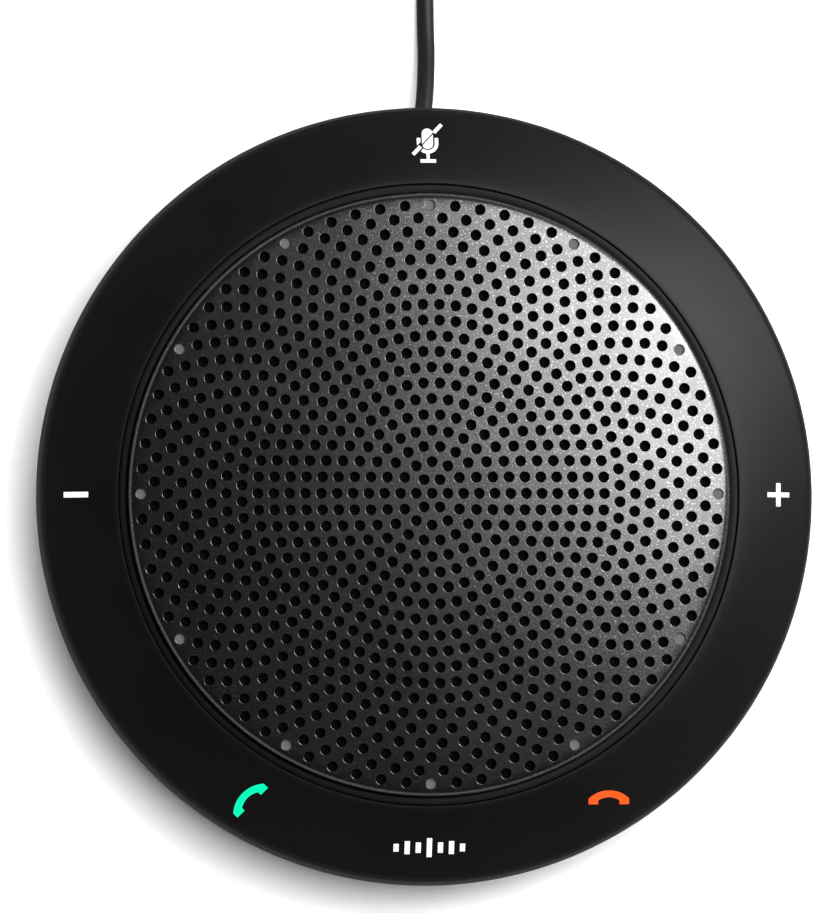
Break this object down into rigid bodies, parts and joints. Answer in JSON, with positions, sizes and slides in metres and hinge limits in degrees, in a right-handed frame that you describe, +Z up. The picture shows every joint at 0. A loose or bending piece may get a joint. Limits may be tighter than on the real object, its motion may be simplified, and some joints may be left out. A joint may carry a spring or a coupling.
{
  "type": "conference speakerphone",
  "caption": "Round black table-top speakerphone with a domed perforated grille, a sloping touch ring with call symbols, an underside cord groove and a wired plug.",
  "frame": {"origin": "centre of the rubber foot ring, on the table", "axes": "+Z up through the grille, +Y to the rear where the cord leaves, +X to the right as the user sees it"},
  "size_m": [0.12, 0.1842, 0.033],
  "materials": {
    "ring_plastic": "satin black moulded plastic with a very fine texture",
    "icon_white": "white translucent inlay",
    "icon_green": "turquoise green translucent inlay",
    "icon_red": "orange red translucent inlay",
    "grille_metal": "dark grey metallic powder coat",
    "acoustic_fabric": "fine black acoustic cloth",
    "trim_plastic": "black satin trim",
    "light_guide_milky": "milky light pipe",
    "circuit_board": "green solder mask",
    "led_lens": "clear lens over phosphor",
    "flex_film": "amber polyimide film",
    "frame_plastic": "black moulded plastic",
    "screw_steel": "zinc plated",
    "soft_rubber": "matt black rubber",
    "basket_steel": "black painted pressed steel",
    "motor_steel": "zinc plated steel",
    "magnet_ferrite": "sintered ferrite",
    "coil_copper": "lacquered copper winding",
    "cone_paper": "black treated cone",
    "wire_red": "red wire insulation",
    "mic_can": "aluminium can",
    "header_plastic": "ivory moulded plastic",
    "case_plastic": "black moulded plastic, fine spark texture",
    "jack_plastic": "black moulded plastic",
    "cord_jacket": "satin black cable jacket",
    "plug_nickel": "nickel plated",
    "contact_gold": "gold plated"
  },
  "bodies": {
    "root": {"touch_ring": "ring_plastic", "icon_mute": "icon_white", "icon_volume_up": "icon_white", "icon_volume_down": "icon_white", "icon_answer": "icon_green", "icon_end": "icon_red", "front_mark": "icon_white", "touch_film": "flex_film", "speaker_grille": "grille_metal", "acoustic_cloth": "acoustic_fabric", "grille_trim_ring": "trim_plastic", "light_guide": "light_guide_milky", "led_board": "circuit_board", "leds": "led_lens", "led_flex": "flex_film", "baffle": "frame_plastic", "baffle_screws": "screw_steel", "speaker_gasket": "soft_rubber", "speaker_basket": "basket_steel", "speaker_screws": "screw_steel", "speaker_top_plate": "motor_steel", "speaker_magnet": "magnet_ferrite", "speaker_yoke": "motor_steel", "speaker_spider": "acoustic_fabric", "speaker_surround": "soft_rubber", "speaker_leads": "wire_red", "microphone": "mic_can", "mic_boot": "soft_rubber", "main_board": "circuit_board", "board_chips": "frame_plastic", "board_capacitors": "screw_steel", "board_headers": "header_plastic", "board_screws": "screw_steel", "jack_board": "circuit_board", "headset_jack": "jack_plastic", "jack_flex": "flex_film", "bottom_case": "case_plastic", "cord_spool": "case_plastic", "base_plate": "case_plastic", "case_screws": "screw_steel", "foot_ring": "soft_rubber", "stand_pin": "screw_steel", "cord_grommet": "soft_rubber", "cord_inner": "cord_jacket", "cord_lead": "cord_jacket", "cord_coil": "cord_jacket", "cord_tail": "cord_jacket", "plug_grip": "cord_jacket", "plug_shell": "plug_nickel", "plug_insulator": "header_plastic", "plug_contacts": "contact_gold"},
    "cone": {"voice_coil": "coil_copper", "speaker_cone": "cone_paper", "dust_cap": "cone_paper"},
    "stand": {"stand": "case_plastic", "stand_pad": "soft_rubber"}
  },
  "joints": [
    {"name": "cone_travel", "type": "slide", "parent": "root", "child": "cone", "axis": [0, 0, 1], "range_m": [-0.0008, 0.0008], "stiffness_N_per_m": 1000, "deforming": ["speaker_surround", "speaker_spider"]},
    {"name": "stand_fold", "type": "hinge", "parent": "root", "child": "stand", "pos_m": [0, 0.024, 0.0023], "axis": [1, 0, 0], "range_deg": [0, 70]}
  ]
}
